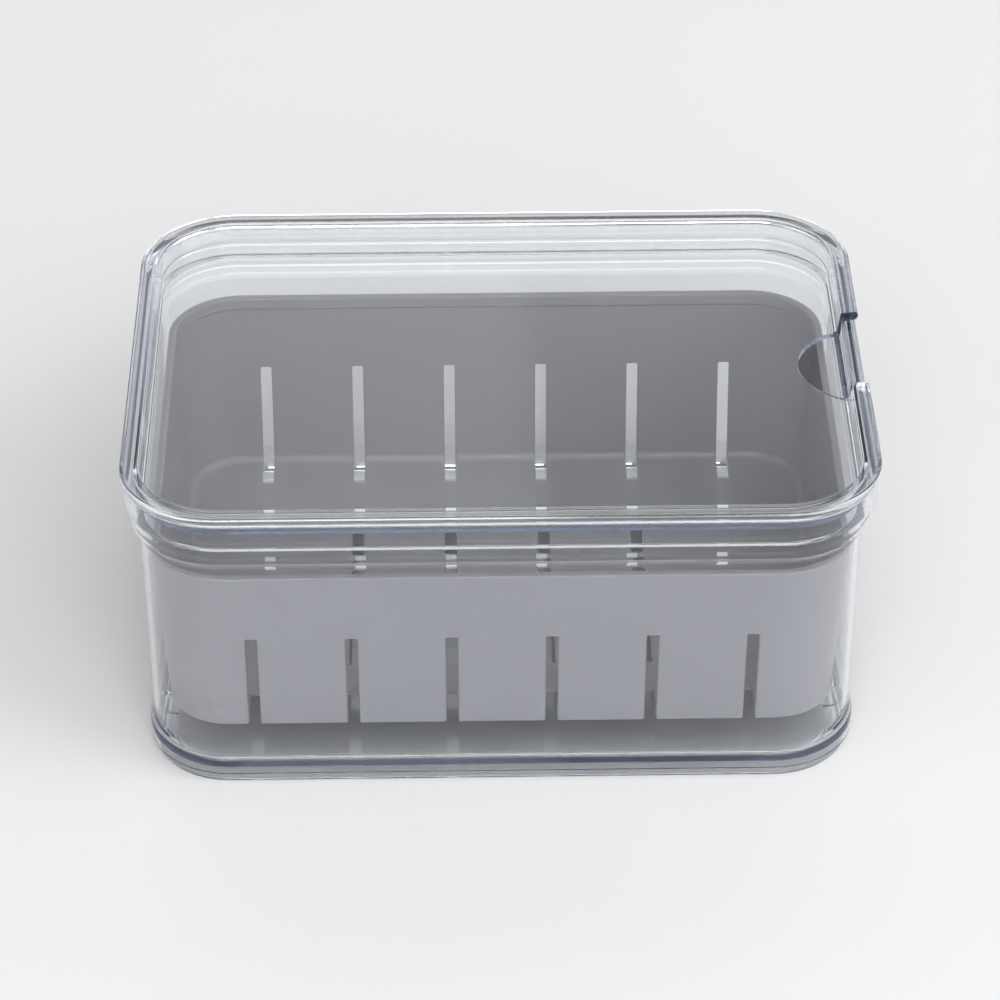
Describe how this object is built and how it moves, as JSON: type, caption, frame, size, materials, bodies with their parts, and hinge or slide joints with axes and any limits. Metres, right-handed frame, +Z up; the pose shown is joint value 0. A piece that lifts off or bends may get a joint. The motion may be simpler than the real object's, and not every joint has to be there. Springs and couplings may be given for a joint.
{
  "type": "fridge bin",
  "caption": "Clear rectangular fridge storage bin with a recessed lid that has a finger notch, and a lift-out slotted grey drain basket.",
  "frame": {"origin": "centre of the underside of the whole bin", "axes": "+X along the long side towards the lid's finger notch, +Y to the back, +Z up"},
  "size_m": [0.255, 0.194, 0.1153],
  "materials": {
    "clear_plastic": "clear polished moulded plastic with a faint cool tint",
    "grey_plastic": "satin mid-grey moulded plastic"
  },
  "bodies": {
    "bin": {"storage_bin": "clear_plastic"},
    "basket": {"drain_basket": "grey_plastic"},
    "lid": {"lid": "clear_plastic"}
  },
  "joints": [
    {"name": "basket_lift", "type": "slide", "parent": "bin", "child": "basket", "axis": [0, 0, 1], "range_m": [0, 0.12]},
    {"name": "lid_lift", "type": "slide", "parent": "basket", "child": "lid", "axis": [0, 0, 1], "range_m": [0, 0.12]}
  ]
}
